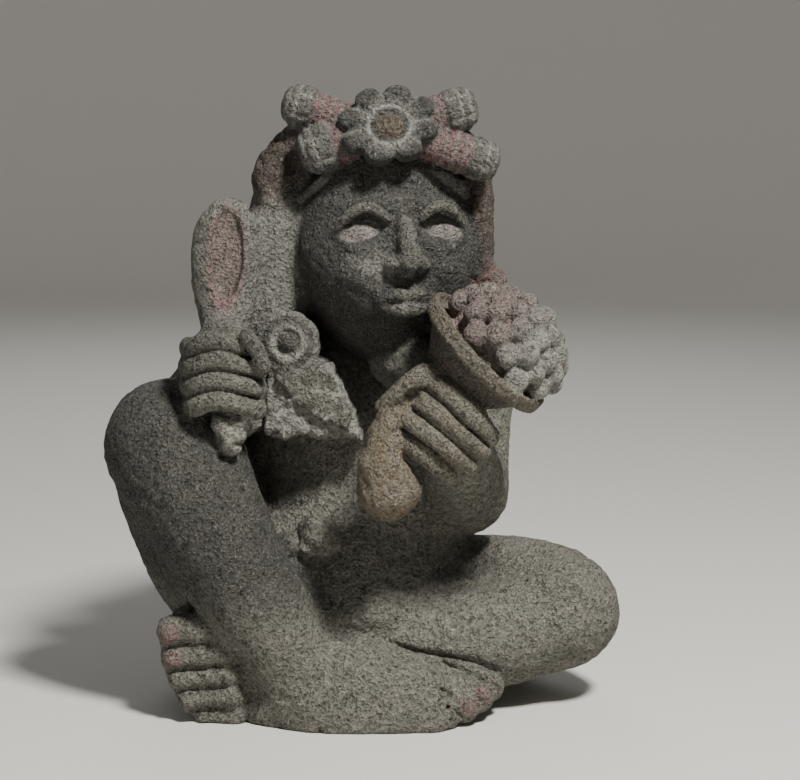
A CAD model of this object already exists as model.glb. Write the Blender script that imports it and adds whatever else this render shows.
# %% [markdown]
# # A seated figure carved in vesicular basalt
#
# The real object is one block of dark volcanic stone, pecked to shape with harder stones and then rubbed
# down. This lesson carves it again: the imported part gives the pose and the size, and a single skin with all
# of its worn detail stands in for it. Lengths below are millimetres in the carver's own frame, whose ground
# is z = 0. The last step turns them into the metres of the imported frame.

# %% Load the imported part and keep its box
import math
from collections import namedtuple

import bpy
import numpy as np
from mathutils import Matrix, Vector


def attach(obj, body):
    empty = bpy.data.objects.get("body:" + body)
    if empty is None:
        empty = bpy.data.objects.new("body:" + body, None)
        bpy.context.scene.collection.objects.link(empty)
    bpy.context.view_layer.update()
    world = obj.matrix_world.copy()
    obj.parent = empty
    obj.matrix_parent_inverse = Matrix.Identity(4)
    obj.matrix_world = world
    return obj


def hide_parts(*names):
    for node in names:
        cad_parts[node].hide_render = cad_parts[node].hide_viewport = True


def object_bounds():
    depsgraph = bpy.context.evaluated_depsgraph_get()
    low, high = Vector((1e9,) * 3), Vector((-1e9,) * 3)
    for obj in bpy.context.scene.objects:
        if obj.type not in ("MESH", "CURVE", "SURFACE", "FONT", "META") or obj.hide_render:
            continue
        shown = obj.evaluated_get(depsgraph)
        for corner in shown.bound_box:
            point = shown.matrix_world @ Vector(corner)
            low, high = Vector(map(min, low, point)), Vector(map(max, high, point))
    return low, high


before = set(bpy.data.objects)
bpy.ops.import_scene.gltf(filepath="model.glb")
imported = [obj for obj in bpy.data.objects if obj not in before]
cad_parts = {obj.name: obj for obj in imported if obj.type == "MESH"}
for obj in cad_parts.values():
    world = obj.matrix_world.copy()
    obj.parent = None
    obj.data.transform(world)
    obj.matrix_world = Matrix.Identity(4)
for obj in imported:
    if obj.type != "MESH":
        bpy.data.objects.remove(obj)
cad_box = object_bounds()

MM = 0.001
CARVING_TO_FRAME = np.array([4.1068, 13.0995, 0.0])
print("packed part, metres:", [[round(v, 4) for v in corner] for corner in cad_box])

# %% [markdown]
# ## The camera
#
# The picture was taken a little above the figure's waist with a long lens, so that near and far parts keep
# their sizes. The camera looks at a point between chin and knee, eight degrees down.

# %% The camera
CAMERA_LENS = 100.0
CAMERA_SENSOR = 36.0
CAMERA_DISTANCE = 1900.0
CAMERA_ELEVATION = math.radians(8)
CAMERA_TARGET = np.array([26.0, -35.0, 273.0])

away = np.array([0, -math.cos(CAMERA_ELEVATION), math.sin(CAMERA_ELEVATION)])
camera_place = Vector((CAMERA_TARGET + CARVING_TO_FRAME + away * CAMERA_DISTANCE) * MM)
camera_data = bpy.data.cameras.new("photo_camera")
camera_data.lens = CAMERA_LENS
camera_data.sensor_width = CAMERA_SENSOR
camera_data.sensor_fit = "HORIZONTAL"
camera = bpy.data.objects.new("photo_camera", camera_data)
bpy.context.scene.collection.objects.link(camera)
camera.location = camera_place
camera.rotation_euler = Vector(-away).to_track_quat("-Z", "Y").to_euler()
bpy.context.scene.camera = camera
print("camera at", [round(v, 3) for v in camera_place])

# %% [markdown]
# ## Soft light and a pale floor
#
# Carving reads by its shadows. One lamp stands high in front and a little to the right, so that its light
# rakes down over the stone and every peck mark shows. A weak and larger one on the left opens the shadows,
# and a pale sky fills the rest, so nothing goes black.
# The paper floor bends up into a wall all round, so no edge of it is seen from any side.

# %% The lamps and the sky
LAMP_AIM = Vector((0, 0, 0.27))


def srgb(code):
    """An sRGB hex colour as linear red, green, blue and alpha: each channel is undone by the sRGB curve."""
    channels = np.array([int(code[i:i + 2], 16) for i in (1, 3, 5)]) / 255
    linear = np.where(channels <= 0.04045, channels / 12.92, ((channels + 0.055) / 1.055) ** 2.4)
    return (*linear, 1.0)


def soft_lamp(name, place, size, power, colour):
    """A square area lamp of this size in metres, aimed at the middle of the figure."""
    data = bpy.data.lights.new(name, "AREA")
    data.size = size
    data.energy = power
    data.color = srgb(colour)[:3]
    lamp = bpy.data.objects.new(name, data)
    bpy.context.scene.collection.objects.link(lamp)
    lamp.location = place
    lamp.rotation_euler = (LAMP_AIM - Vector(place)).to_track_quat("-Z", "Y").to_euler()


soft_lamp("high_right", (0.74, -1.22, 2.05), 0.34, 108, "#fffcf7")
soft_lamp("low_left", (-2.2, -1.6, 1.2), 1.6, 4, "#eef3ff")
soft_lamp("behind", (-0.4, 2.2, 1.9), 1.2, 14, "#ffffff")

world = bpy.data.worlds.new("studio")
world.use_nodes = True
sky = world.node_tree.nodes["Background"].inputs
sky["Color"].default_value = srgb("#e6e8ea")
sky["Strength"].default_value = 0.13
bpy.context.scene.world = world
print("lamps:", [lamp.name for lamp in bpy.data.lights])

# %% The paper floor
HUB_RADIUS = 0.02
SWEEP_FLAT = 3.4
SWEEP_BEND = 1.6
SWEEP_TOP = 4.6
BEND_STEPS = 12
TURN_STEPS = 96
bend = np.linspace(0, math.pi / 2, BEND_STEPS + 1)
reach = np.hstack([[HUB_RADIUS], SWEEP_FLAT + SWEEP_BEND * np.sin(bend), [SWEEP_FLAT + SWEEP_BEND]])
rise = np.hstack([[0], SWEEP_BEND * (1 - np.cos(bend)), [SWEEP_TOP]])
turn = np.linspace(0, 2 * math.pi, TURN_STEPS + 1)[:-1]
sweep = np.stack([np.outer(reach, np.cos(turn)), np.outer(reach, np.sin(turn)),
                  np.outer(rise, np.ones_like(turn))], -1)
row, column = np.meshgrid(np.arange(len(reach) - 1), np.arange(TURN_STEPS), indexing="ij")
inner, outer, ahead = row * TURN_STEPS, (row + 1) * TURN_STEPS, (column + 1) % TURN_STEPS
quads = np.stack([inner + column, inner + ahead, outer + ahead, outer + column], -1).reshape(-1, 4)
hub = [list(range(TURN_STEPS))]
floor_mesh = bpy.data.meshes.new("floor")
floor_mesh.from_pydata(sweep.reshape(-1, 3).tolist(), [], quads.tolist() + hub)
floor_mesh.polygons.foreach_set("use_smooth", np.ones(len(floor_mesh.polygons), bool))
floor = bpy.data.objects.new("floor", floor_mesh)
bpy.context.scene.collection.objects.link(floor)
paper = bpy.data.materials.new("matt_paper")
paper.use_nodes = True
paper_sockets = paper.node_tree.nodes["Principled BSDF"].inputs
paper_sockets["Base Color"].default_value = srgb("#cfcdc8")
paper_sockets["Roughness"].default_value = 0.9
floor_mesh.materials.append(paper)
print("floor faces:", len(floor_mesh.polygons))

# %% [markdown]
# ## Stone as a field of distances
#
# Limbs that melt into one another are hard to build from separate surfaces: each joint would need its own
# fillet. A carver thinks of mass instead, and so does this step. Every form is a function that gives its
# distance from any point, less than nothing inside. Two forms are joined by taking the smaller distance, with
# a rounding where they meet, and a hollow is cut by taking the larger. The distances are worked out for
# whole arrays of points at once.

# %% Rounded joins and cuts
Form = namedtuple("Form", "distance low high")
X, Y, Z = np.eye(3)


def joined(a, b, blend):
    """Smooth minimum: where the two differ by less than blend, the lower sinks by up to a quarter of it."""
    share = np.clip(0.5 + 0.5 * (b - a) / blend, 0, 1)
    return b + (a - b) * share - blend * share * (1 - share)


def unit(vectors):
    """Vectors divided by their lengths."""
    return vectors / np.linalg.norm(vectors, axis=-1, keepdims=True)


def square_edge(across, along):
    """Distance to a square edge between two gaps: their long side outside, and the larger one inside."""
    outside = np.hypot(np.maximum(across, 0), np.maximum(along, 0))
    return outside + np.minimum(np.maximum(across, along), 0)


def eased(value, start, stop, first=0.0, last=1.0):
    """Goes from first to last as the value goes from start to stop, with no corner: 3 t^2 - 2 t^3."""
    t = np.clip((value - start) / (stop - start), 0, 1)
    return first + (last - first) * t * t * (3 - 2 * t)


def bell(value, middle, width):
    """1 at the middle and less to both sides: exp(-((value - middle) / width)^2)."""
    return np.exp(-((value - middle) / width) ** 2)


# %% Curves through stations
def spline(rows, per_span):
    """Catmull-Rom curve: each span is a cubic through its two rows, and the slope at a row is half the step
    between that row's neighbours."""
    rows = np.asarray(rows, float)
    ends = np.vstack([2 * rows[0] - rows[1], rows, 2 * rows[-1] - rows[-2]])
    spans = len(rows) - 1
    t = np.linspace(0, spans, per_span * spans + 1)
    i = np.minimum(t.astype(int), spans - 1)
    f = (t - i)[:, None]
    before, start, stop, after = (ends[i + k] for k in range(4))
    rise = f**3 - 2 * f**2 + f
    fall = f**3 - f**2
    blend = 3 * f**2 - 2 * f**3
    return (1 - blend) * start + blend * stop + rise * (stop - before) / 2 + fall * (after - start) / 2


def limb(stations, depth_axis=Y, end=1.0, per_span=5, place=None):
    """A rounded form carried along a path. Each station is x, y, z, half width and half depth, which may be
    one number.

    The nearest place on the path gives a centre, a width direction (depth axis x tangent) and a depth
    direction. With a, b, c the offsets over the half sizes, k = |(a, b, c)| and g = |(a, b, c) / sizes|, the
    distance is k (k - 1) / g, which is exact on a ball and near the skin of an ellipse."""
    rows = np.array([(*s[:3], s[3], s[-1]) for s in stations])
    path = spline(rows, per_span)
    centre, half = path[:, :3], path[:, 3:]
    tangent = unit(np.gradient(centre, axis=0))
    side = unit(np.cross(depth_axis, tangent))
    depth = np.cross(side, tangent)
    last = len(centre) - 1

    def distance(points):
        p = points if place is None else place(points)
        best = np.full(len(p), 1e12, np.float32)
        at = np.zeros(len(p), np.float32)
        for i in range(last):
            step = (centre[i + 1] - centre[i]).astype(np.float32)
            offset = p - centre[i].astype(np.float32)
            along = np.clip(offset @ step / (step @ step), 0, 1)
            offset -= along[:, None] * step
            gap = np.einsum("ij,ij->i", offset, offset)
            nearer = gap < best
            best = np.where(nearer, gap, best)
            at = np.where(nearer, i + along, at)
        i = np.minimum(at.astype(int), last - 1)
        f = (at - i)[:, None]
        offset = p - (centre[i] * (1 - f) + centre[i + 1] * f)
        size = half[i] * (1 - f) + half[i + 1] * f
        a = np.einsum("ij,ij->i", offset, side[i] * (1 - f) + side[i + 1] * f)
        b = np.einsum("ij,ij->i", offset, depth[i] * (1 - f) + depth[i + 1] * f)
        c = np.einsum("ij,ij->i", offset, tangent[i] * (1 - f) + tangent[i + 1] * f)
        c = np.where((at <= 0) | (at >= last), c, 0)
        reach = end * (size[:, 0] + size[:, 1]) / 2
        return ellipse_distance(a, b, c, size[:, 0], size[:, 1], reach)

    reach = half.max(1, keepdims=True) * max(1.0, end)
    low, high = (centre - reach).min(0), (centre + reach).max(0)
    if place is not None:
        corners = place.back(np.array([np.where(pick, high, low) for pick in np.ndindex(2, 2, 2)]))
        low, high = corners.min(0), corners.max(0)
    return Form(distance, low, high)


def ellipse_distance(a, b, c, w, d, e):
    """Distance to an ellipsoid of half sizes w, d, e, to first order: k (k - 1) / g."""
    a, b, c = a / w, b / d, c / e
    k = np.sqrt(a * a + b * b + c * c)
    g = np.sqrt((a / w) ** 2 + (b / d) ** 2 + (c / e) ** 2) + 1e-6
    return (k * (k - 1) / g).astype(np.float32)


# %% Frames, balls and turned forms
class Frame:
    """A turned and moved set of axes. Calling it gives local coordinates, and back() the carving's."""

    def __init__(self, centre, axes):
        self.centre = np.asarray(centre, float)
        self.axes = np.asarray(axes, float)

    def __call__(self, points):
        return ((points - self.centre) @ self.axes).astype(np.float32)

    def back(self, points):
        return points @ self.axes.T + self.centre


def rotation(axis, angle):
    """The matrix of a turn about x, y or z (0, 1 or 2): cosine and sine in the plane of the other two."""
    a, b = (axis + 1) % 3, (axis + 2) % 3
    turn = np.eye(3)
    turn[a, a] = turn[b, b] = math.cos(angle)
    turn[b, a] = math.sin(angle)
    turn[a, b] = -turn[b, a]
    return turn


def facing(centre, direction, spin=0.0):
    """The frame whose z axis points along direction, reached from upright by the shortest turn."""
    d = unit(np.asarray(direction, float))
    v = np.cross(Z, d)
    cross = np.array([[0, -v[2], v[1]], [v[2], 0, -v[0]], [-v[1], v[0], 0]])
    return Frame(centre, (np.eye(3) + cross + cross @ cross / (1 + d[2])) @ rotation(2, spin))


def ball(centre, halves, turn_y=0.0, place=None):
    """An ellipsoid with three half sizes, turned about y."""
    frame_of = Frame(centre, rotation(1, turn_y))

    def distance(points):
        local = frame_of(points if place is None else place(points))
        return ellipse_distance(*local.T, *halves)

    middle = np.asarray(centre, float) if place is None else place.back(np.array([centre], float))[0]
    reach = max(halves)
    return Form(distance, middle - reach, middle + reach)


def outline_distance(u, v, corners):
    """Distance to a closed outline: the nearest edge, and minus it where a level ray crosses an odd number of
    edges."""
    nearest = np.full(u.shape, 1e12, np.float32)
    odd = np.zeros(u.shape, bool)
    for (u0, v0), (u1, v1) in zip(corners, np.roll(corners, -1, axis=0)):
        du, dv = u1 - u0, v1 - v0
        along = np.clip(((u - u0) * du + (v - v0) * dv) / (du * du + dv * dv), 0, 1)
        nearest = np.minimum(nearest, (u - u0 - along * du) ** 2 + (v - v0 - along * dv) ** 2)
        if dv != 0:
            odd ^= ((v0 > v) != (v1 > v)) & (u < u0 + (v - v0) * du / dv)
    return np.sqrt(nearest) * np.where(odd, -1, 1)


def turned(profile, axes, stretch=1.0, ripple=None):
    """A solid of revolution about the frame's z axis. The profile is radius and height from axis to axis. A
    ripple adds to the radius by height and angle before the outline is read."""
    profile = np.array(profile, float)
    inner = profile[1:-1][::-1] * (-1, 1)
    outline = np.vstack([profile, inner])
    reach = np.abs(profile).max() * max(1.0, stretch) * 1.3

    def distance(points):
        x, y, z = axes(points).T
        radius = np.hypot(x, y / stretch)
        if ripple is not None:
            radius = radius + ripple(np.arctan2(y, x), z)
        return outline_distance(radius, z, outline).astype(np.float32)

    return Form(distance, axes.centre - reach, axes.centre + reach)


# %% [markdown]
# ## The block
#
# The field is kept on a grid a little finer than the smallest cut. Each form is only worked out inside its
# own box and a margin, because past that it can't change the skin.

# %% The block of stone
GRID_STEP = 1.9
FAR = 80.0
MARGIN = 20.0
SPARE_CELLS = 5
CELLS_BELOW_GROUND = 3.5
low = (np.array(cad_box[0]) / MM - CARVING_TO_FRAME) - SPARE_CELLS * GRID_STEP
high = (np.array(cad_box[1]) / MM - CARVING_TO_FRAME) + SPARE_CELLS * GRID_STEP
low[2] = -CELLS_BELOW_GROUND * GRID_STEP
axes_mm = [np.arange(a, b, GRID_STEP).astype(np.float32) for a, b in zip(low, high)]
stone = np.full([len(a) for a in axes_mm], FAR, np.float32)
print("grid", stone.shape, "=", round(stone.size / 1e6, 1), "million distances")


def window(form):
    """The grid's slices inside a form's box and the points in them."""
    start = np.maximum((form.low - MARGIN - low) / GRID_STEP, 0).astype(int)
    stop = np.minimum((form.high + MARGIN - low) / GRID_STEP + 2, stone.shape).astype(int)
    box = tuple(slice(a, max(a, b)) for a, b in zip(start, stop))
    grid = np.stack(np.meshgrid(*(line[part] for line, part in zip(axes_mm, box)), indexing="ij"), -1)
    return box, grid.reshape(-1, 3), grid.shape[:3]


def listed(forms):
    """One form or several, as a list."""
    return [forms] if isinstance(forms, Form) else forms


def add(forms, blend):
    """Joins forms to the stone one by one, with a rounding of this many millimetres, or of blend(points)."""
    for form in listed(forms):
        box, points, shape = window(form)
        soft = blend(points).reshape(shape) if callable(blend) else blend
        stone[box] = joined(stone[box], form.distance(points).reshape(shape), soft)


def cut(forms, blend):
    """Takes forms away from the stone: the larger of the stone and the form turned inside out."""
    for form in listed(forms):
        box, points, shape = window(form)
        stone[box] = -joined(-stone[box], form.distance(points).reshape(shape), blend)


def print_litres(title):
    """Prints how much stone there is by now."""
    print(title, round(float((stone < 0).sum()) * GRID_STEP**3 / 1e6, 2), "litres")


# %% [markdown]
# ## Trunk, lap and legs
#
# The big masses come first and melt softly into each other, as pecked stone does. Their stations are the
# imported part's own. Where a knee folds, the two limbs already share one ball, so their join is kept tight and
# the knee doesn't swell.

# %% Trunk, lap and legs
TRUNK = [[-6, 45, 50, 118, 86], [-8, 38, 135, 96, 80], [-8, 32, 210, 100, 74], [-8, 38, 284, 116, 62],
         [-6, 42, 322, 74, 48]]
SEAT = ([-5, 70, 44], [136, 84, 70])
LAP = [[-30, 14, 152, 70, 56], [-28, -14, 112, 84, 58], [-24, -42, 62, 90, 62]]
CROOK = [[30, -18, 52, 50], [150, -12, 66, 42]]
RAISED_THIGH = [[-82, 78, 72, 66], [-126, 40, 98, 64], [-151, -6, 166, 62], [-167, -46, 226, 57]]
RAISED_SHIN = [[-167, -56, 228, 57], [-143, -78, 184, 52], [-112, -90, 126, 45], [-80, -92, 76, 43],
               [-66, -84, 36, 41]]
CALF = [[-138, -26, 160, 46], [-96, -20, 62, 54]]
FOLDED_THIGH = [[76, 64, 66, 60], [124, 28, 80, 52], [154, -4, 81, 51], [168, -30, 80, 49]]
FOLDED_SHIN = [[162, -32, 74, 46], [104, -50, 60, 44], [36, -56, 50, 42], [-50, -58, 44, 38],
               [-100, -78, 45, 36]]

add(limb(TRUNK, end=0.45), 10)
add(ball(*SEAT), 18)
add(limb(LAP, end=0.3), 18)
add(limb(CROOK), 12)
raised_leg = [limb(RAISED_THIGH), limb(RAISED_SHIN, depth_axis=X)]
add(raised_leg[0], 12)
add(limb(CALF), 10)
add(raised_leg[1], 6)
add(limb(FOLDED_THIGH), 12)
add(limb(FOLDED_SHIN), 7)
print_litres("trunk and legs")

# %% [markdown]
# ## The worn knot in the lap
#
# What is left of the loincloth's knot is a low stepped lump with a smaller one beside it against the shin. A
# few overlapping blocks with blunt edges give its chipped faces.

# %% The knot
KNOT_LUMPS = [([-43, -62, 152], [19, 26, 17], 0.5), ([-45, -74, 163], [10, 12, 9], 0.7),
              ([-34, -70, 147], [11, 16, 9], -0.3), ([-52, -72, 143], [9, 14, 9], 0.3),
              ([-71, -58, 140], [13, 26, 20], 0.9), ([-64, -68, 126], [12, 18, 12], 0.4)]
knot = [ball(*row) for row in KNOT_LUMPS]
add(knot, 2)
print("lumps", len(knot))

# %% [markdown]
# ## Feet
#
# The foot of the raised leg stands in front. It melts into the ankle but is parted from the folded shin by a
# clean groove, so its rounding grows from toe to heel. Of the other foot only the worn front shows: a rounded
# block with its toes stacked like bars, set off from the heel by a hollow.

# %% Feet, toes and nails
SOLE = [[-80, -76, 14, 40, 40], [-40, -86, 12, 50, 62], [4, -92, 10, 47, 60], [52, -94, 8, 42, 42]]
HEEL_HOLLOW = [([-122, -148, 42], [34, 48, 36]), ([-106, -140, 24], [24, 36, 28])]
FOOT_BLOCK = [[-150, 6], [-160, 16], [-168, 32], [-174, 51], [-176, 70], [-168, 85], [-154, 91],
              [-133, 83], [-120, 65], [-109, 48], [-104, 32], [-103, 11], [-105, -8], [-105, -30],
              [-118, -30], [-128, -4]]
# each toe's root, tip and radius
STANDING_TOES = [([34, -82, 46], [100, -85, 27], 15), ([34, -96, 40], [92, -101, 21], 13.5),
                 ([26, -107, 32], [80, -111, 14], 12.5), ([16, -114, 24], [64, -119, 9], 11.5),
                 ([4, -118, 16], [46, -124, 6], 10.5)]
INSTEP_GROOVE = [[6, -96, 71], [38, -97, 60], [68, -97, 55], [100, -96, 46], [116, -92, 30]]
TOE_GROOVES = [([62, -96, 50], [112, -97, 27]), ([38, -121, 40], [70, -119, 29]),
               ([60, -124, 22], [82, -122, 7])]
STACKED_TOES = [([-126, -101, 81], [-165, -97, 77], 14), ([-120, -103, 60], [-163, -98, 55], 12.5),
                ([-116, -104, 42], [-158, -98, 37], 11.5), ([-116, -104, 24], [-150, -98, 18], 11.5),
                ([-112, -102, 6], [-139, -98, 4], 9)]
STACK_GROOVES = [([-133, -114, 71], [-180, -108, 64]), ([-123, -114, 51], [-178, -108, 43.5]),
                 ([-122, -114, 33], [-172, -108, 26]), ([-123, -112, 14], [-158, -108, 9])]


def slab(outline, front, back, soft):
    """A slab cut to an outline in x and z between two planes of y: a square edge between the gap across the
    outline and the gap along y, rounded by soft."""
    corners = np.array(outline, float)
    middle, half = (front + back) / 2, (back - front) / 2

    def distance(points):
        x, y, z = points.T
        across = outline_distance(x, z, corners) + soft
        along = np.abs(y - middle) - half + soft
        return (square_edge(across, along) - soft).astype(np.float32)

    return Form(distance, np.insert(corners.min(0), 1, front), np.insert(corners.max(0), 1, back))


def groove(path, wide=1.8, deep=5.0):
    """A thin cutter along a path, wide across the crease and deep into the stone."""
    return limb([[*place, deep, wide] for place in path], depth_axis=Z, per_span=3)


def toe(root, tip, radius):
    """A rounded bar from inside the foot to the toe's tip."""
    return limb([[*root, radius], [*tip, radius]], depth_axis=Z)


def nail(tip, radius, offset):
    """A low round nail, set off from the tip by this many radii."""
    return ball(np.array(tip) + radius * np.array(offset), [0.5 * radius, 0.32 * radius, 0.5 * radius])


add(limb(SOLE, depth_axis=Z, end=0.6), lambda p: eased(p[:, 0], -50, 0, 14.0, 2.0))
cut([ball(*row) for row in HEEL_HOLLOW], 4)
add(slab(FOOT_BLOCK, -109, -40, soft=11), 2)
add([toe(*row) for row in STANDING_TOES], 3)
cut(groove(INSTEP_GROOVE, 2.2, 7.0), 2)
cut([groove(path, 1.6, 2.6) for path in TOE_GROOVES], 1.5)
add([toe(*row) for row in STACKED_TOES], 1.5)
cut([groove(path, 1.9, 6.5) for path in STACK_GROOVES], 1.2)
nails = [nail(tip, radius, (0.3, -0.78, 0.42)) for root, tip, radius in STANDING_TOES]
nails += [nail(tip, radius, (-0.1, -0.86, 0)) for root, tip, radius in STACKED_TOES]
add(nails, 1.0)
print("toes", len(STANDING_TOES) + len(STACKED_TOES))

# %% [markdown]
# ## Arms and hands
#
# A closed fist is read by its grooves. The fingers are carried along bent paths side by side and only just
# touch, so that a deep crease is left between them, and a thin cutter then cleans each crease.

# %% Arms
RIGHT_UPPER_ARM = [[-102, 42, 306, 45], [-142, 22, 256, 39]]
RIGHT_FOREARM = [[-142, 16, 254, 37], [-122, -80, 290, 30]]
LEFT_UPPER_ARM = [[88, 44, 298, 46], [86, 32, 236, 38], [81, 4, 180, 39]]
LEFT_FOREARM = [[81, -2, 180, 38], [73, -104, 242, 28]]
CHIN_BRIDGE = [[26, -50, 306, 30, 26], [60, -104, 286, 26, 26]]
BELOW_RIGHT_ARM = ([-90, 14, 212], [22, 24, 22])
RIGHT_PALM = ([-122, -84, 297], [33, 35, 38])
LEFT_PALM = ([66, -112, 254], [33, 32, 37], math.radians(-40))

add(limb(RIGHT_UPPER_ARM), 12)
add(limb(LEFT_UPPER_ARM), 12)
add(limb(RIGHT_FOREARM, depth_axis=X), 7)
add(ball(*BELOW_RIGHT_ARM), 8)
add(limb(LEFT_FOREARM, depth_axis=X), 7)
add(ball(*RIGHT_PALM), 4)
add(ball(*LEFT_PALM), 5)
add(limb(CHIN_BRIDGE), 6)
print_litres("with arms")

# %% Staff and blade
SHAFT = [[-114, -98, 246, 13], [-119, -86, 326, 18]]
BLADE = [[-119, -76, 328, 19, 18], [-120, -68, 356, 26, 20], [-119, -64, 388, 30, 21],
         [-117, -64, 418, 26, 19], [-116, -64, 430, 16, 14]]
WEB = [[-92, -32, 296, 30, 30], [-78, -38, 400, 32, 26], [-76, -34, 434, 24, 24]]
RECESS_PROFILE = [[0, -9], [11.5, -9], [13, -7.5], [14.5, 2], [15.5, 16], [0, 16]]
BROKEN_END = [([-121, -104, 255], [9, 12, 8], 0.2), ([-106, -105, 255], [9, 11, 7], -0.3),
              ([-113, -106, 247], [12, 11, 8], 0.2), ([-116, -106, 239], [8, 10, 8], 0.4),
              ([-113, -103, 234], [7, 8, 5], 0)]
web = limb(WEB, end=0.6)
shaft_end = [ball(*row) for row in BROKEN_END]
blade = limb(BLADE, end=0.6)
recess_axes = facing([-117.5, -85, 394], [-0.05, -1, 0.04], -0.08)
recess = turned(RECESS_PROFILE, recess_axes, stretch=2.75)
add(web, 6)
add(limb(SHAFT), 4)
add(shaft_end, 1.5)
add(blade, 5)
cut(recess, 1)
print("blade, mm:", np.round(blade.high - blade.low))

# %% The right fist round the staff
RIGHT_FINGER_HEIGHTS = [325.5, 310, 293.5, 277.5]
RIGHT_FINGER_RADII = [7.6, 8.8, 8.8, 8]
RIGHT_FINGER_BEND = [[-150, -84, -10], [-143, -110, -7], [-126, -119, 0], [-108, -117, -3],
                     [-97, -108, -8], [-92, -96, -12]]
RIGHT_FINGER_STATIONS = (4, 6, 6, 6)
RIGHT_THUMB = [[-98, -121, 329, 6.8], [-91, -120, 318, 7.2], [-86, -114, 303, 7.2]]
RIGHT_GROOVE_BEND = [[-160, -88, -11], [-150, -115, -7], [-127, -127, 0], [-106, -124, -3],
                     [-90, -106, -10]]
THUMB_GROOVES = [[[-110, -122, 331, 2.0], [-102, -123, 318, 1.8], [-97, -120, 306, 1.4]],
                 [[-104, -126, 314, 1.8], [-101, -126, 290, 1.8], [-102, -123, 268, 1.8]]]
BETWEEN_FINGERS_AND_THUMB = ([-98, -101, 305], [14, 15, 18])
right_fist = [ball(*BETWEEN_FINGERS_AND_THUMB)]
for height, radius, last in zip(RIGHT_FINGER_HEIGHTS, RIGHT_FINGER_RADII, RIGHT_FINGER_STATIONS):
    right_fist.append(limb([[x, y, height + lift, radius, radius * 1.2]
                            for x, y, lift in RIGHT_FINGER_BEND[:last]], depth_axis=Z))
add(right_fist, 3.0)
right_fist.append(limb(RIGHT_THUMB))
add(right_fist[-1], 1.0)
for above, below in zip(RIGHT_FINGER_HEIGHTS, RIGHT_FINGER_HEIGHTS[1:]):
    middle = (above + below) / 2
    cut(groove([[x, y, middle + lift] for x, y, lift in RIGHT_GROOVE_BEND], 1.5, 5.2), 1.2)
cut([limb(stations) for stations in THUMB_GROOVES], 1.2)
print("right fist forms:", len(right_fist))

# %% [markdown]
# ## The head
#
# The head looks up and to its left. It is one rounded form that tapers to the jaw and is blunter in front
# than behind. Soft mounds and hollows model the face, and the nose, lips and lids are small limbs laid on
# it. The face is a general one: eyes at mid height, the nose a third of the face, the mouth a third of the
# way from nose to chin.

# %% The head
HEAD_CENTRE = [10, -18, 388]
HEAD_YAW = math.radians(15)
HEAD_TILT = math.radians(-12)
HEAD_FRONT, HEAD_BACK, HEAD_SIDE, HEAD_ABOVE, HEAD_BELOW = 82, 84, 82, 96, 92
JAW_TAPER = 0.24
FACE_BLUNTNESS = 0.78
BROW = ([0, -42, 60], [54, 33, 35])
# mounds and hollows: place across and up, spread across and up, height
FACE_RELIEF = [[29, 13, 15, 9, -10], [24, 31, 24, 7, 4], [36, -24, 17, 18, 5], [0, -76, 18, 12, 9],
               [0, -48, 22, 15, 5]]
head_frame = Frame(HEAD_CENTRE, rotation(2, HEAD_YAW) @ rotation(0, HEAD_TILT))


def head_distance(points):
    """Distance to the head. With ux, uz the offsets over the half sizes, the skin is where ux^2 + uz^2 +
    uy^n = 1, with n = 2 behind and 2 / bluntness in front, where the relief is first added to y."""
    x, y, z = head_frame(points).T
    uz = np.where(z > 0, z / HEAD_ABOVE, z / HEAD_BELOW)
    half = HEAD_SIDE * (1 - JAW_TAPER * eased(-uz, 0, 1))
    ux = x / half
    forward = np.sqrt(np.clip(1 - ux**2 - uz**2, 0, 1))
    lift = np.zeros_like(x)
    for cx, cz, spread_x, spread_z, height in FACE_RELIEF:
        near = ((np.abs(x) - cx) / spread_x) ** 2 + ((z - cz) / spread_z) ** 2
        lift += height * np.exp(-near)
    y = np.where(y < 0, y + lift * np.minimum(1, 2 * forward), y)
    power = np.where(y < 0, 2 / FACE_BLUNTNESS, 2.0)
    size = np.where(y < 0, HEAD_FRONT, HEAD_BACK)
    uy = np.abs(y) / size
    total = ux**2 + uz**2 + uy**power
    steep = np.sqrt((2 * ux / half) ** 2 + (2 * uz / HEAD_ABOVE) ** 2
                    + (power * uy ** (power - 1) / size) ** 2) / 2 + 1e-6
    k = np.sqrt(total)
    return (k * (k - 1) / steep).astype(np.float32)


head = Form(head_distance, np.array(HEAD_CENTRE) - 104, np.array(HEAD_CENTRE) + 104)
add(head, 6)
brow = ball(*BROW, place=head_frame)
add(brow, 12)
print_litres("with the head")

# %% Nose, lips and eyes
NOSE = [[0, -73, 30, 6, 8], [0, -80, 10, 7.5, 12], [0, -86, -8, 9, 16], [0, -88, -19, 11, 15]]
UPPER_LIP = [[-23, -70, -47, 3.5], [-9, -80, -44, 5.5], [0, -81, -46, 5], [9, -80, -44, 5.5],
             [23, -70, -47, 3.5]]
LOWER_LIP = [[-20, -70, -53, 3.5], [0, -79, -57, 6.5], [20, -70, -53, 3.5]]
MOUTH_LINE = [[-21, -76, -50, 1.4], [0, -88, -51, 1.9], [21, -76, -50, 1.4]]
UPPER_LID = [[9, -74, 8, 3], [17, -81, 21, 4.2], [31, -83, 28, 4.8], [46, -76, 22, 4.2], [56, -62, 8, 3]]
LOWER_LID = [[9, -74, 8, 2.6], [18, -78, -3, 3.4], [32, -77, -7, 3.8], [46, -71, -3, 3.4],
             [56, -62, 8, 2.6]]
LID_SHADOW = [[14, -79, 14, 1.8], [31, -78, 21, 2.2], [48, -69, 14, 1.8]]


def face_limb(stations, side=1):
    """A limb in the head's frame, with x turned over where the side is -1."""
    return limb([[x * side, *rest] for x, *rest in stations], place=head_frame)


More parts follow.
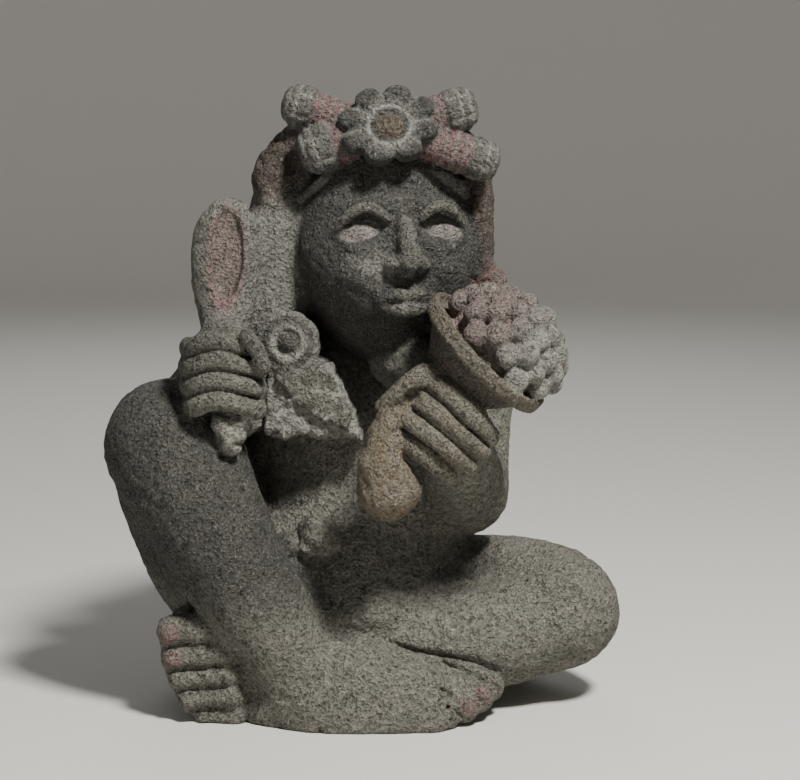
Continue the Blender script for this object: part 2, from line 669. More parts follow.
def face_balls(x, y, z, halves):
    """Two balls in the head's frame, one on each side."""
    return [ball([x * side, y, z], halves, place=head_frame) for side in (-1, 1)]


wings = face_balls(12.5, -82, -20, [7.5, 11, 7.5])
eyes = face_balls(32, -63, 8, [21, 12, 13])
nostrils = face_balls(6.5, -92, -27, [3.4, 6, 3.2])
add(face_limb(NOSE), 5)
for side, wing, eye, nostril in zip((-1, 1), wings, eyes, nostrils):
    add(wing, 3)
    add(eye, 1.2)
    add(face_limb(UPPER_LID, side), 1.5)
    add(face_limb(LOWER_LID, side), 1.5)
    cut(face_limb(LID_SHADOW, side), 1.0)
    cut(nostril, 1.2)
add(face_limb(UPPER_LIP), 2.5)
add(face_limb(LOWER_LIP), 2)
cut(face_limb(MOUTH_LINE), 1.0)
print("eyes and nostrils:", len(eyes + nostrils))

# %% [markdown]
# ## Headdress and hair
#
# The cap is turned about an axis that leans back, and its raised lower edge is the hair line over the brow. A
# roll round its front carries a large open flower between two pairs of buds.

# %% Hairline, cap and hair
CAP_PROFILE = [[0, -24], [80, -10], [86, -8], [88, -4], [86, 0], [83, 2], [82, 14], [77, 46], [50, 80],
               [0, 92]]
BROW_ROLL = [[-44, -42, 482, 16], [-14, -60, 498, 18], [16, -65, 500, 18], [48, -60, 498, 18],
             [76, -40, 480, 16]]
RIGHT_HAIR_ROLL = [[-57, -52, 488, 15], [-79, -44, 460, 18], [-80, -42, 434, 17], [-80, -38, 408, 13]]
RIGHT_SIDE_HAIR = [[-62, 14, 424, 16, 48], [-66, 22, 326, 18, 44]]
LEFT_SIDE_HAIR = [[90, -12, 462, 14, 34], [92, -4, 400, 15, 40], [84, 16, 338, 20, 44]]
BACK_HAIR = [[10, 34, 404, 88, 58], [4, 60, 346, 82, 48], [-4, 88, 282, 68, 26]]
BEHIND_RIGHT_ROLL = ([-58, -22, 458], [24, 26, 40])
BELOW_RIGHT_BUD = ([-64, -62, 466], [8, 16, 12], 0.5)
HAIR_LINE = [[-60, -44, 430], [-38, -60, 452], [-14, -68, 466], [16, -72, 471], [46, -68, 467],
             [70, -56, 457], [88, -36, 440]]
HAIR_LINE_CENTRE = np.array(HEAD_CENTRE) + (0, 0, 20)
RAY_REACH = 130.0
HALVINGS = 16


def to_skin(form, centre, places):
    """Moves each place along its ray from the centre to the form's skin, by halving the gap each time."""
    rays = unit(np.array(places, float) - centre)
    near_end, far_end = np.zeros(len(rays)), np.full(len(rays), RAY_REACH)
    for _ in range(HALVINGS):
        middle = (near_end + far_end) / 2
        inside = form.distance((centre + rays * middle[:, None]).astype(np.float32)) < 0
        near_end, far_end = np.where(inside, middle, near_end), np.where(inside, far_end, middle)
    return centre + rays * near_end[:, None]


hair_line = limb([[*place, 5.0] for place in to_skin(head, HAIR_LINE_CENTRE, HAIR_LINE)])
cap_axes = facing([14, 12, 417], [0, 0.57, 0.82])
cap = turned(CAP_PROFILE, cap_axes, stretch=1.1)
brow_roll = limb(BROW_ROLL)
hair_forms = [limb(RIGHT_HAIR_ROLL), limb(RIGHT_SIDE_HAIR), limb(LEFT_SIDE_HAIR), limb(BACK_HAIR, end=0.45)]
add(cap, 4)
add(brow_roll, 6)
for form, blend in zip(hair_forms, (4, 6, 6, 14)):
    add(form, blend)
add(ball(*BEHIND_RIGHT_ROLL), 4)
cut(ball(*BELOW_RIGHT_BUD), 3)
add(hair_line, 2)
print_litres("with hair and cap")


# %% The flower, the buds and the ear flowers
PETALS = 8
Bloom = namedtuple("Bloom", "radius notch ring boss depth crease moat squash lift")
FLOWER = Bloom(42, 0.76, 19, 12.5, 11, 3.4, 3.2, 0.83, 4.0)
EAR_DISC = Bloom(27, 0.95, 16, 7.8, 9, 1.0, 3.6, 1.0, 0.0)
# start, tip, radius of the sleeve and radius of the head
BUDS = [([-12, -66, 503], [-56, -62, 514], 14.5, 18.5), ([-8, -74, 490], [-41, -74, 479], 16.5, 20.5),
        ([42, -66, 503], [74, -62, 511], 16.5, 19), ([44, -74, 486], [93, -64, 470], 17, 18)]
PETAL_EDGE = 3.0
BUD_LOBES = 6
BUD_HOOPS = (0.08, 0.5)
SLEEVE_RIBS = (1.0, 1.45, 1.95)
# radius, and height past the tip, both as shares of the head's radius
BUD_HEAD = [(0.84, -0.66), (1, -0.5), (1.04, 0), (1, 0.36), (0.84, 0.64), (0.5, 0.82), (0, 0.86)]


def blossom(axes, radius, notch, ring, boss, depth, crease, moat, squash, lift):
    """A round flower. With w = |sin(petals t / 2)|^0.7 its reach is radius (notch + (1 - notch) w), and its
    face is a flat plate with a crease between petals, a ring and a moat round a domed boss. Lift raises the
    outline's middle above the boss."""
    middle = turned([[0, -depth], [boss, -depth], [boss, depth * 0.5], [boss * 0.8, depth * 0.95],
                     [boss * 0.45, depth * 1.2], [0, depth * 1.25]], axes)

    def distance(points):
        x, y, z = axes(points).T
        r = np.hypot(x, y / squash)
        high = (y - lift) / squash
        between = np.abs(np.sin(PETALS * np.arctan2(high, x) / 2))
        across = (np.hypot(x, high) - radius * (notch + (1 - notch) * between**0.7)) * 0.85
        sunk = crease * bell(r * between / PETALS, 0, 1.1) * eased(r, ring, ring + 8)
        sunk += 1.2 * eased(r, radius * 0.6, radius) + 2.0 * eased(r, ring - 1, ring + 3)
        sunk += moat * bell(r - boss, 1.5, 1.8)
        along = np.abs(z) - (depth - sunk)
        petal = square_edge(across + PETAL_EDGE, along + PETAL_EDGE) - PETAL_EDGE
        return joined(petal.astype(np.float32), middle.distance(points), 1.0)

    return Form(distance, axes.centre - radius * 1.2, axes.centre + radius * 1.2)


def bud_axes(start, tip):
    """The frame that stands at a bud's start with its z axis to the tip, and the length between them."""
    start, tip = np.array(start, float), np.array(tip, float)
    return facing(start, tip - start), np.linalg.norm(tip - start)


def bud_lines(angle, height, length, head):
    """1 in the lines carved on a bud's head: one between each two lobes and two hoops round it."""
    lines = bell(np.sin(BUD_LOBES * angle / 2) * head / BUD_LOBES, 0, 0.8)
    for at in BUD_HOOPS:
        lines = np.maximum(lines, bell(height - length, head * at, 1.7))
    return lines * eased(height, length - head * 0.6, length - head * 0.45)


def sleeve_ribs(height, length, head):
    """1 on the thin ribs across a bud's sleeve."""
    return sum(bell(height - length, -head * at, 1.5) for at in SLEEVE_RIBS)


def bud(start, tip, sleeve, head):
    """A bud turned about the line from start to tip: a ribbed sleeve, a step, and a blunt head with sunk
    lines."""
    axes, length = bud_axes(start, tip)
    profile = [[0, -6], [sleeve * 0.76, -6], [sleeve * 0.98, length - head * 1.1],
               [sleeve, length - head * 0.72]]
    profile += [[head * wide, length + head * up] for wide, up in BUD_HEAD]

    def ripple(angle, height):
        return (2.2 * bud_lines(angle, height, length, head)
                - 1.3 * sleeve_ribs(height, length, head)).astype(np.float32)

    return turned(profile, axes, ripple=ripple)


flower_axes = facing([17, -86, 495], [0.02, -0.90, 0.43], math.radians(11.5))
flower = blossom(flower_axes, *FLOWER)
bud_forms = [bud(*row) for row in BUDS]
add(bud_forms + [flower], 1.5)
right_ear_axes = facing([-67, -70, 318], [-0.12, -1, 0.05])
left_ear_axes = facing([96, -26, 356], [0.6, -1, 0.05])
right_ear = blossom(right_ear_axes, *EAR_DISC)
left_ear = blossom(left_ear_axes, *EAR_DISC)
print("flower", PETALS, "petals and", len(bud_forms), "buds")

# %% The pendant below the ear flower
PENDANT = [[-84, 302], [-88, 268], [-87, 240], [-70, 236], [-52, 240], [-34, 236], [-16, 238], [-4, 230],
           [-8, 246], [-18, 270], [-32, 300]]
PENDANT_FACE = [[-78, 288], [-58, 264], [-42, 251], [-20, 245], [-12, 256], [-26, 284], [-38, 304],
                [-70, 302]]
FLAP = [[-104, 275], [-107, 234], [-92, 244], [-84, 282]]
pendant = slab(PENDANT, -73, -10, soft=4)
pendant_face = slab(PENDANT_FACE, -79, -30, soft=3)
flap = slab(FLAP, -68, -10, soft=5)
add([pendant, pendant_face, flap, right_ear, left_ear], 2.5)
print("pendant, mm:", np.round(pendant.high - pendant.low))

# %% [markdown]
# ## The bouquet
#
# A bundle of stems passes through the left fist and opens into a conical cup with a flat band round its
# rim. A deep groove parts the band from a dome packed with small round blossoms. They are set out by the
# golden angle, so that no two line up, and each is a little larger or smaller than the next.

# %% The stems and the cup
HANDLE = [[19, -146, 204, 25], [16, -146, 212, 25], [11, -146, 233, 18.5], [16, -142, 255, 15],
          [26, -134, 272, 13]]
STEMS = [[30, -132, 266, 17], [48, -124, 276, 19], [66, -114, 288, 22]]
CUP_PROFILE = [[0, -52], [24, -52], [49, -20], [52, -15.5], [60, -15], [62.5, -12.5], [62.5, -2], [60.5, 0],
               [58, -1], [55, -5], [0, -5]]
cup_axes = facing([101, -121, 321], [0.7, -0.15, 0.7])
cup = turned(CUP_PROFILE, cup_axes)
handle = limb(HANDLE, end=0.8)
add(cup, 1)
add(limb(STEMS, end=0.6), 4)
add(handle, 3)
print("cup centre:", cup_axes.centre)

# %% The dome of blossoms
BLOSSOM_COUNT = 46
BLOSSOM_RADIUS = 10.4
GOLDEN_ANGLE = math.pi * (3 - math.sqrt(5))
DOME_HALVES = np.array([50, 47, 46])
DOME_SHIFT = np.array([6, 0, 0])
DOME_FOOT = -20


def chance(i, j, k, seed):
    """A repeatable number from 0 to 1 for each whole-number place, by mixing the bits of its coordinates."""
    h = (i.astype(np.uint32) * np.uint32(73856093)) ^ (j.astype(np.uint32) * np.uint32(19349663))
    h = h ^ (k.astype(np.uint32) * np.uint32(83492791)) ^ np.uint32(seed * 2654435761 % 2**32)
    h = (h ^ (h >> np.uint32(13))) * np.uint32(1540483477)
    h = (h ^ (h >> np.uint32(15))) * np.uint32(2246822519)
    return (h ^ (h >> np.uint32(16))).astype(np.float64) / 2**32


rank = np.arange(BLOSSOM_COUNT)
height = 1 - (rank + 0.5) / BLOSSOM_COUNT * 0.96
turn = rank * GOLDEN_ANGLE
ring = np.sqrt(1 - height**2)
wobble = np.stack([chance(rank, rank, rank, seed) for seed in (1, 2, 3)], 1) - 0.5
blossom_places = np.stack([ring * np.cos(turn), ring * np.sin(turn), height], 1) * DOME_HALVES
blossom_places = blossom_places + DOME_SHIFT + wobble * 3
blossom_sizes = BLOSSOM_RADIUS * (0.88 + 0.24 * chance(rank, rank, rank, 4))
dome_core = DOME_HALVES - 3.0


def blossoms_distance(points):
    """Distance to the dome: a smaller ball joined tightly to one ball at each blossom's place, and cut off
    level below the cup's rim."""
    local = cup_axes(points)
    whole = ellipse_distance(*(local - DOME_SHIFT).T, *dome_core)
    for place, size in zip(blossom_places.astype(np.float32), blossom_sizes):
        knob = np.sqrt(((local - place) ** 2).sum(1)) - size
        whole = joined(whole, knob.astype(np.float32), 0.9)
    return np.maximum(whole, DOME_FOOT - local[:, 2]).astype(np.float32)


DOME_REACH = 72
dome = Form(blossoms_distance, cup_axes.centre - DOME_REACH, cup_axes.centre + DOME_REACH)
add(dome, 0.8)
print("blossoms", BLOSSOM_COUNT, "of radius", np.round([blossom_sizes.min(), blossom_sizes.max()], 1))

# %% The left fist round the stems
LEFT_FINGERS = [[[52, -142, 295, 10], [68, -156, 284, 11.2], [84, -157, 267, 11.2], [97, -142, 250, 9.5]],
                [[42, -145, 279, 9.8], [58, -157, 270, 10.6], [76, -157, 256, 10.6], [91, -143, 239, 9]],
                [[32, -145, 266, 9.4], [47, -156, 255, 10.2], [65, -156, 242, 10.2], [81, -143, 227, 8.4]],
                [[28, -142, 249, 8], [40, -151, 241, 9], [54, -151, 230, 8.8], [66, -140, 218, 7.4]]]
LEFT_GROOVES = [[[44, -150, 289], [60, -165, 279], [79, -166, 262], [97, -148, 244]],
                [[34, -150, 274], [51, -165, 264], [70, -165, 249], [88, -148, 232]],
                [[28, -148, 258], [43, -160, 249], [60, -160, 236], [75, -146, 221]]]
LEFT_THUMB = [[12, -138, 274, 7], [27, -143, 287, 9], [42, -142, 297, 11], [56, -138, 301, 12]]
LEFT_THUMB_PAD = ([60, -138, 295], [15, 15, 13])
LEFT_PALM_HOLLOW = ([35, -156, 283], [9, 13, 6], math.radians(-40))
left_fist = [limb(finger, depth_axis=Z) for finger in LEFT_FINGERS]
left_fist += [limb(LEFT_THUMB), ball(*LEFT_THUMB_PAD)]
add(left_fist, 1.2)
cut([groove(path, 1.4, 5) for path in LEFT_GROOVES], 1.2)
cut(ball(*LEFT_PALM_HOLLOW), 2)
print_litres("with everything")

# %% [markdown]
# ## Wear, and the flat underside
#
# Centuries round every edge. Averaging each distance with its neighbours does the same: sharp ridges lose a
# little and tight creases fill a little. Everything below the ground is cut off before and after, so that the
# sole stays flat with a crisp edge.

# %% Wear and the ground
WEAR = 0.27
stone = np.maximum(stone, -axes_mm[2][None, None, :])
for axis in range(3):
    beside = (np.roll(stone, -1, axis) + np.roll(stone, 1, axis)) / 2
    stone = stone * (1 - WEAR) + beside * WEAR
stone = np.maximum(stone, -axes_mm[2][None, None, :])

# %% [markdown]
# ## From distances to a skin
#
# The skin is where the distance is nought. Every grid cell that it passes through gets one point, the mean
# of the places where it crosses the cell's edges, and every crossed edge gets one face between the four cells
# around it. This closes the skin without seams or poles. The points are then evened out and set back on the
# skin.

# %% The skin
def skin_of(field):
    """Points and quads of the surface where the field is nought, with faces pointing to larger values."""
    inside = field < 0
    corner = list(np.ndindex(2, 2, 2))
    size = np.array(field.shape) - 1
    part = [tuple(slice(o[a], o[a] + size[a]) for a in range(3)) for o in corner]
    count = sum(inside[p].astype(np.int8) for p in part)
    cells = np.argwhere((count > 0) & (count < 8))
    number = np.full(tuple(size), -1, np.int32)
    number[tuple(cells.T)] = np.arange(len(cells))
    value = np.stack([field[tuple((cells + o).T)] for o in corner], 1)
    total = np.zeros((len(cells), 3))
    crossings = np.zeros(len(cells))
    for a in range(8):
        for b in (a | bit for bit in (1, 2, 4) if not a & bit):
            crossed = (value[:, a] < 0) != (value[:, b] < 0)
            gap = np.where(crossed, value[:, a] - value[:, b], 1)
            t = np.where(crossed, value[:, a] / gap, 0)[:, None]
            place = np.array(corner[a]) * (1 - t) + np.array(corner[b]) * t
            total += np.where(crossed[:, None], place, 0)
            crossings += crossed
    points = cells + total / crossings[:, None]
    quads = []
    for axis in range(3):
        across, up = (axis + 1) % 3, (axis + 2) % 3
        first = [slice(1, -1)] * 3
        second = list(first)
        first[axis], second[axis] = slice(0, -1), slice(1, None)
        changed = inside[tuple(first)] != inside[tuple(second)]
        at = np.argwhere(changed) + np.array([0 if i == axis else 1 for i in range(3)])
        back_across, back_up = np.eye(3, dtype=int)[across], np.eye(3, dtype=int)[up]
        ring = [at, at - back_across, at - back_across - back_up, at - back_up]
        quad = np.stack([number[tuple(r.T)] for r in ring], 1)
        outward = inside[tuple(at.T)]
        quads.append(np.where(outward[:, None], quad, quad[:, ::-1]))
    return points, np.vstack(quads)


# %% Evening out the points
def cell_corners(base, f):
    """The eight corners of each point's cell, with their weights: along each axis the place f in the cell for
    the far corner, and 1 - f for the near one."""
    for pick in np.ndindex(2, 2, 2):
        x, y, z = (f[:, axis] if far else 1 - f[:, axis] for axis, far in enumerate(pick))
        yield x * y * z, [base[:, axis] + far for axis, far in enumerate(pick)]


def sampled(field, points):
    """The field between grid points, by weighting the eight corners around each point."""
    base = np.clip(points.astype(int), 0, np.array(field.shape) - 2)
    return sum(weight * field[tuple(corner)] for weight, corner in cell_corners(base, points - base))


def slope(field, points):
    """The field's gradient by differences half a cell to each side."""
    half = np.eye(3) * 0.5
    return np.stack([sampled(field, points + h) - sampled(field, points - h) for h in half], 1)


def neighbour_mean(values, quads):
    """The mean of each point's neighbours along the quads' edges."""
    total = np.zeros_like(values)
    start = quads.ravel()
    stop = np.roll(quads, -1, axis=1).ravel()
    for column in range(values.shape[1]):
        total[:, column] = (np.bincount(start, values[stop, column], len(values))
                            + np.bincount(stop, values[start, column], len(values)))
    edges = np.bincount(start, minlength=len(values)) + np.bincount(stop, minlength=len(values))
    return total / edges[:, None]


EVENING_PASSES = 3
EVENING_SHARE = 0.5
points, quads = skin_of(stone)
for _ in range(EVENING_PASSES):
    points += EVENING_SHARE * (neighbour_mean(points, quads) - points)
    gradient = slope(stone, points)
    steep = np.maximum((gradient**2).sum(1), 1e-3)
    step = np.clip(sampled(stone, points) / steep, -1, 1)
    points -= gradient * step[:, None]
skin = points * GRID_STEP + low
print("skin:", len(skin), "points,", len(quads), "quads")


# %% [markdown]
# ## Pits and tool marks
#
# The surface isn't smooth anywhere. Broad hammer facets lie under smaller pecked ones, and gas holes are open
# here and there. The hair, the blossoms, the pendant and both broken ends are rougher than the rest.

# %% Pits and tool marks
def drift(p, size, seed):
    """Smooth noise from -1 to 1: chances at the corners of cubes of this size, eased between them."""
    q = p / size
    base = np.floor(q).astype(np.int64)
    f = q - base
    f = f * f * (3 - 2 * f)
    return sum(weight * chance(*corner, seed) for weight, corner in cell_corners(base, f)) * 2 - 1


def pits(p, size, share, seed):
    """Round pits: each cube of this size may hold one, and the depth falls from 1 at its middle to 0 at its
    rim."""
    q = p / size
    base = np.floor(q).astype(np.int64)
    deepest = np.zeros(len(p))
    for pick in np.ndindex(3, 3, 3):
        cube = base + np.array(pick) - 1
        dice = [chance(*cube.T, seed + i) for i in range(5)]
        middle = cube + np.stack(dice[:3], 1)
        radius = 0.25 + 0.3 * dice[3]
        depth = 1 - ((q - middle) ** 2).sum(1) / radius**2
        deepest = np.maximum(deepest, np.where(dice[4] < share, depth, 0))
    return deepest


def normals_of(p, quads):
    """Unit normals: the sum of the crossed diagonals of the quads round each point."""
    crossed = np.cross(p[quads[:, 2]] - p[quads[:, 0]], p[quads[:, 3]] - p[quads[:, 1]])
    total = np.stack([np.bincount(quads.ravel(), np.repeat(crossed[:, i], 4), len(p)) for i in range(3)], 1)
    return unit(total + 1e-12)


def near(places, forms, soft, reach=0.0, margin=None):
    """1 on and inside the forms grown by reach, easing to 0 over soft millimetres. Each form is only worked
    out inside its box and the margin."""
    margin = soft + reach + 2 if margin is None else margin
    mask = np.zeros(len(places), np.float32)
    for form in listed(forms):
        inside = ((places > form.low - margin) & (places < form.high + margin)).all(1)
        gap = form.distance(places[inside].astype(np.float32))
        mask[inside] = np.maximum(mask[inside], 1 - eased(gap, reach, reach + soft))
    return mask


# %% Relief along the normals
ROUGH_FORMS = [([hair_forms[0], hair_forms[2]], 1.0), ([hair_forms[1], brow_roll], 0.8), (handle, 0.9),
               ([pendant, pendant_face], 1.7), (dome, 0.25), (shaft_end, 1.4), (knot, 0.8),
               (bud_forms + left_fist, 0.3)]
FINE_FORMS = [flower, right_ear, dome, cup, recess, hair_line, *bud_forms, *right_fist, *left_fist, *nails,
              *eyes]
FINE_CALM = 0.6
# height and size in millimetres and seed of each layer of facets
FACETS = [(0.8, 34, 11), (0.6, 14, 12), (0.7, 5.5, 13)]
ROUGH_FACETS = [(1.2, 10, 14), (1.2, 6, 15)]

rough = np.zeros(len(skin))
for forms, amount in ROUGH_FORMS:
    rough = np.maximum(rough, amount * near(skin, forms, 4, 1, margin=4))
fine = near(skin, FINE_FORMS, 4, 2, margin=4).astype(float)
relief = sum(height * drift(skin, size, seed) for height, size, seed in FACETS)
relief -= 0.9 * pits(skin, 11, 0.3, 21) + 1.0 * pits(skin, 6.5, 0.4, 23)
relief *= 1 - FINE_CALM * fine
broken = sum(height * drift(skin, size, seed) for height, size, seed in ROUGH_FACETS)
broken -= 1.4 * pits(skin, 8, 0.5, 22)
relief += rough * (1 - FINE_CALM * fine) * broken
skin = skin + normals_of(skin, quads) * relief[:, None]
skin[:, 2] = np.maximum(skin[:, 2], 0)
print("relief, mm:", round(float(relief.min()), 2), "to", round(float(relief.max()), 2))

# %% The mesh
TRIANGLE_LIMIT = 190000
PLAIN_PREFERENCE = 3.0
mesh = bpy.data.meshes.new("carved_figure")
mesh.vertices.add(len(skin))
mesh.vertices.foreach_set("co", skin.astype(np.float32).ravel())
mesh.loops.add(quads.size)
mesh.loops.foreach_set("vertex_index", quads.astype(np.int32).ravel())
mesh.polygons.add(len(quads))
mesh.polygons.foreach_set("loop_start", np.arange(0, quads.size, 4, dtype=np.int32))
mesh.update(calc_edges=True)
mesh.validate()
figure = bpy.data.objects.new("carved_figure", mesh)
bpy.context.scene.collection.objects.link(figure)
triangles = 2 * len(quads)
if triangles > TRIANGLE_LIMIT:
    plain = figure.vertex_groups.new(name="plain")
    plain.add(np.flatnonzero(fine < 0.5).tolist(), 1.0, "REPLACE")
    thin = figure.modifiers.new("thin", "DECIMATE")
    thin.ratio = TRIANGLE_LIMIT / triangles
    thin.vertex_group = plain.name
    thin.vertex_group_factor = PLAIN_PREFERENCE
    evaluated = figure.evaluated_get(bpy.context.evaluated_depsgraph_get())
    thinned = bpy.data.meshes.new_from_object(evaluated)
    figure.modifiers.clear()
    figure.data = thinned
    bpy.data.meshes.remove(mesh)
    mesh = thinned
    mesh.name = "carved_figure"
print("triangles", sum(len(p.vertices) - 2 for p in mesh.polygons))

place_mm = np.zeros(len(mesh.vertices) * 3, np.float32)
mesh.vertices.foreach_get("co", place_mm)
place_mm = place_mm.reshape(-1, 3).astype(float)


# %% [markdown]
# ## Where each finish lies
#
# The stone keeps traces of red iron earth in its hollows, lime crust on the flowers, brown earth in the hair
# and tan stains from handling, and the head and the raised leg have weathered darker. Each is kept as one
# number for every point of the skin, and the material reads them.

# %% Masks over the skin
def on(forms, soft, reach=0.0):
    """near() for the mesh's points."""
    return near(place_mm, forms, soft, reach).astype(float)


def most(*masks):
    """The largest of several masks at each point."""
    return np.max(np.stack(masks), 0)


def keep(name, values):
    """Stores one number for each point, for the material to read."""
    attribute = mesh.attributes.new(name, "FLOAT", "POINT")
    attribute.data.foreach_set("value", np.clip(values, 0, 1).astype(np.float32))
    print(f"{name}: {float(values.mean()):.3f} of full over the skin")


breakup = 0.5 + 0.5 * drift(place_mm, 10, 31)
speckle = 0.5 + 0.5 * drift(place_mm, 5, 32)
flower_local, face_local, cup_local = flower_axes(place_mm), head_frame(place_mm), cup_axes(place_mm)
flower_radius = np.hypot(*flower_local.T[:2])
ear_radius = np.hypot(*right_ear_axes(place_mm).T[:2])
flower_mask, ear_mask, eye_mask = on(flower, 2, 1), on(right_ear, 2, 1), on(eyes, 1, 0.5)
bud_mask, end_mask = on(bud_forms, 3, 1), on(shaft_end, 3, 1)
dome_mask, cup_mask = on(dome, 2, 1.5), on(cup, 3, 1)
hair_mask = on(hair_forms[:3], 4, 2) * (1 - on(head, 2, 2.5))
roll_mask = on(brow_roll, 4, 1) * (1 - flower_mask)

sleeves, lines = [], []
for form, (start, tip, sleeve, head_size) in zip(bud_forms, BUDS):
    axes, length = bud_axes(start, tip)
    x, y, z = axes(place_mm).T
    on_bud = on(form, 2, 2) * (1 - flower_mask)
    sleeves.append(on_bud * (z < length - head_size * 0.66))
    lines.append(on_bud * (bud_lines(np.arctan2(y, x), z, length, head_size)
                           + 0.8 * sleeve_ribs(z, length, head_size)))
sleeve_mask, line_mask = most(*sleeves), most(*lines)

# %% Red pigment and brown earth
pink_side = 1 - eased(cup_local[:, 0], -24, 26)
knob = eased(ellipse_distance(*(cup_local - DOME_SHIFT).T, *dome_core), 1.5, 6.5)
recess_edge = on(recess, 5, 1) * (recess_axes(place_mm)[:, 2] > -3.5)
red = most(sleeve_mask * (0.85 - 0.6 * line_mask), dome_mask * pink_side * (0.8 - 0.35 * knob),
           recess_edge * 0.9, on(recess, 2, 1) * 0.45, on(nails[1:3] + nails[5:7], 2, 0.8) * 0.75,
           on(left_ear, 3, 2) * 0.5, eye_mask * 0.3)
keep("red_pigment", red * (0.5 + 0.5 * breakup))

umber = most(hair_mask * 0.95, roll_mask * 0.35, on(recess, 2, 1) * 0.5,
             cup_mask * (cup_local[:, 2] < -15) * 0.9, dome_mask * (1 - knob) * 0.45)
keep("brown_earth", umber * (0.6 + 0.4 * speckle))

# %% Pale crust
between = np.abs(np.sin(PETALS * np.arctan2(flower_local[:, 1] / FLOWER.squash, flower_local[:, 0]) / 2))
streak = bell(flower_radius * between / PETALS, 0, 1.2) * (flower_radius > 17)
cheek = bell(face_local[:, 0], -30, 17) * bell(face_local[:, 2], -22, 13) * (face_local[:, 1] < -40)
flower_crust = most(bell(flower_radius, 17.5, 2.2) * 1.2, bell(flower_radius, 20, 5) * 0.4, streak * 0.5)
ear_crust = most(bell(ear_radius, 12.8, 2.6) * 1.2, (ear_radius > 22.5) * 0.6, np.full(len(place_mm), 0.12))
pale = most(flower_mask * flower_crust, ear_mask * ear_crust, on(hair_line, 2, 1) * 0.7,
            on(pendant, 4, 2) * 0.9, on(blade, 5, 2) * 0.4, on(web, 5, 2) * 0.5,
            dome_mask * (0.8 - 0.5 * knob * pink_side), line_mask * 0.9, bud_mask * 0.25, end_mask * 0.8,
            eye_mask * 0.8, cheek * 0.7)
keep("pale_crust", pale * (0.45 + 0.55 * breakup))

# %% Handling stain and dark slate
tan = most(on(handle, 4, 2), on(left_fist, 4, 1.5) * 0.45, cup_mask * (cup_local[:, 2] > -16) * 0.6,
           flower_mask * (flower_radius < 12) * 0.6, end_mask * 0.3)
keep("ochre_stain", tan * (0.4 + 0.6 * breakup))

slate = most(eased(place_mm[:, 2], 240, 350) * 0.5, on(head, 6, 3), on(brow, 8, 4), flower_mask,
             on(brow_roll, 4, 2), ear_mask * (np.abs(ear_radius - 13) > 4) * 0.9, bud_mask * 0.9,
             on(raised_leg, 16, 2) * eased(place_mm[:, 2], 70, 130) * 0.9)
keep("dark_slate", slate * (0.78 + 0.22 * breakup))

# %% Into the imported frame
mesh.vertices.foreach_set("co", ((place_mm + CARVING_TO_FRAME) * MM).astype(np.float32).ravel())
mesh.polygons.foreach_set("use_smooth", np.ones(len(mesh.polygons), bool))
mesh.update()

# %% [markdown]
# ## Basalt, pecked and rubbed
#
# Vesicular basalt is dark grey-green, open with small gas holes and flecked with pale crystals. Pecking
# leaves it matt, so it has almost no highlight and its roughness is near 1. What the eye reads is grain:
# patches a few fingers wide of warm and cool grey, a mottle the size of the hammer's point, holes of uneven
# size, and fine dust. The real crystals are half a millimetre or less. They are drawn at 1.6 to 2.2 mm,
# because finer ones wouldn't show.

# %% Basalt
basalt = bpy.data.materials.new("pecked_basalt")
basalt.use_nodes = True
tree = basalt.node_tree
tree.nodes.clear()


def add_node(kind, inputs, output, **settings):
    """Adds a shader node to the basalt, sets its properties, fills its inputs by value or by a link from
    another socket, and gives the named output, or all of them."""
    made = tree.nodes.new("ShaderNode" + kind)
    for name, value in settings.items():
        setattr(made, name, value)
    for key, value in inputs.items():
        if isinstance(value, bpy.types.NodeSocket):
            tree.links.new(value, made.inputs[key])
        else:
            made.inputs[key].default_value = value
    return made.outputs[output] if output else made.outputs


position = add_node("TexCoord", {}, "Object")

# size in millimetres, detail and roughness
NOISES = {"patches": (38, 3.0, 0.6), "mottle": (9, 5.0, 0.68), "peck": (3.8, 1.0, 0.5),
          "grain": (2.2, 2.0, 0.6), "dust": (1.6, 2.0, 0.6)}
noise = {}
for name, (size_mm, detail, roughness) in NOISES.items():
    noise[name] = add_node("TexNoise", {"Vector": position, "Scale": 1 / (size_mm * MM), "Detail": detail,
                                        "Roughness": roughness}, "Fac")
print("noises:", list(noise))

# %% Gas holes and chips
# spacing in millimetres, the chance that a cell stays closed, and the widest hole as a share of the spacing
HOLES = {"large": (9.0, 0.72, 0.30), "small": (4.6, 0.35, 0.36), "chip": (15.0, 0.82, 0.2)}
RAGGED_EDGE = 1.1
open_hole = {}
for name, (spacing_mm, closed, widest) in HOLES.items():
    cells = add_node("TexVoronoi", {"Vector": position, "Scale": 1 / (spacing_mm * MM)}, None)
    dice = add_node("SeparateColor", {"Color": cells["Color"]}, "Red")
    wide = add_node("MapRange", {"Value": dice, "From Min": closed, "From Max": 1.0, "To Min": 0.0,
                                 "To Max": widest}, "Result", clamp=True)
    ragged = add_node("Math", {0: noise["grain"], 1: 0.5}, "Value", operation="SUBTRACT")
    edge = add_node("Math", {0: ragged, 1: RAGGED_EDGE, 2: cells["Distance"]}, "Value",
                    operation="MULTIPLY_ADD")
    inside = add_node("Math", {0: wide, 1: edge}, "Value", operation="SUBTRACT")
    open_hole[name] = add_node("MapRange", {"Value": inside, "From Min": 0.0, "From Max": 0.2}, "Result",
                               clamp=True)
print("holes:", list(open_hole))

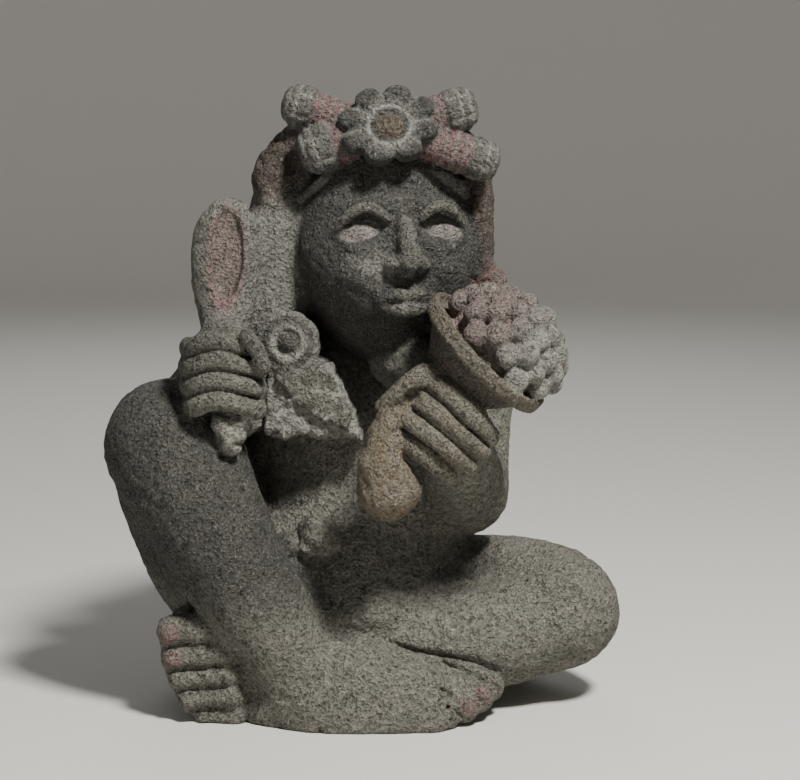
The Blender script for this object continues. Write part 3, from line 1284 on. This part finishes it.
# %% Colours laid over each other
# source, its range, strength at each end of it, colour, and the finish that holds it
LAYERS = [
    ("patches", 0.36, 0.64, 0.0, 0.75, "#807e75", None), ("mottle", 0.50, 0.66, 0.0, 0.7, "#98968b", None),
    ("peck", 0.52, 0.72, 0.0, 0.25, "#b0ada3", None), ("peck", 0.48, 0.28, 0.0, 0.25, "#3c3b35", None),
    ("grain", 0.54, 0.72, 0.0, 0.25, "#b4b1a7", None), ("grain", 0.46, 0.28, 0.0, 0.25, "#34342f", None),
    ("mottle", 0.30, 0.60, 0.72, 0.97, "#373836", "dark_slate"),
    ("mottle", 0.34, 0.60, 0.45, 0.92, "#564640", "brown_earth"),
    ("mottle", 0.30, 0.60, 0.45, 0.85, "#7b6c53", "ochre_stain"),
    ("mottle", 0.36, 0.58, 0.45, 0.95, "#b2b1aa", "pale_crust"),
    ("mottle", 0.36, 0.62, 0.45, 0.88, "#91686a", "red_pigment"),
    ("dust", 0.45, 0.30, 0.0, 0.3, "#3a3933", None), ("dust", 0.58, 0.74, 0.0, 0.4, "#bdbab0", None),
    ("peck", 0.44, 0.28, 0.0, 0.2, "#3c3b35", None), ("large", 0.0, 1.0, 0.0, 0.4, "#2e2d29", None),
    ("small", 0.0, 1.0, 0.0, 0.2, "#2e2d29", None), ("chip", 0.0, 1.0, 0.0, 0.6, "#c4c1b7", None)]
sources = {**noise, **open_hole}
colour = srgb("#74736b")
for name, start, stop, at_start, at_stop, code, finish in LAYERS:
    amount = add_node("MapRange", {"Value": sources[name], "From Min": start, "From Max": stop,
                                   "To Min": at_start, "To Max": at_stop}, "Result", clamp=True)
    if finish is not None:
        held = add_node("Attribute", {}, "Fac", attribute_name=finish)
        amount = add_node("Math", {0: held, 1: amount}, "Value", operation="MULTIPLY")
    colour = add_node("Mix", {"Factor": amount, "A": colour, "B": srgb(code)}, "Result", data_type="RGBA")
print("colour layers:", len(LAYERS))

# %% Grain that catches the light
# source and height in millimetres, less than nothing where the source sinks
BUMPS = [("mottle", 9.0), ("peck", 9.0), ("grain", 5.0), ("large", -3.0), ("small", -2.2)]
normal = {}
for name, height_mm in BUMPS:
    normal["Normal"] = add_node("Bump", {"Height": sources[name], "Strength": 1.0,
                                         "Distance": abs(height_mm) * MM, **normal}, "Normal",
                                invert=height_mm < 0)
shader = add_node("BsdfPrincipled", {"Base Color": colour, "Roughness": 0.95, "Specular IOR Level": 0.25,
                                     **normal}, "BSDF")
add_node("OutputMaterial", {"Surface": shader}, None)
mesh.materials.append(basalt)
print("material nodes:", len(tree.nodes))

# %% [markdown]
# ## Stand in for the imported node
#
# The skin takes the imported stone's place and rides on its body.

# %% Finish
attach(figure, "root")
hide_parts("seated_figure")
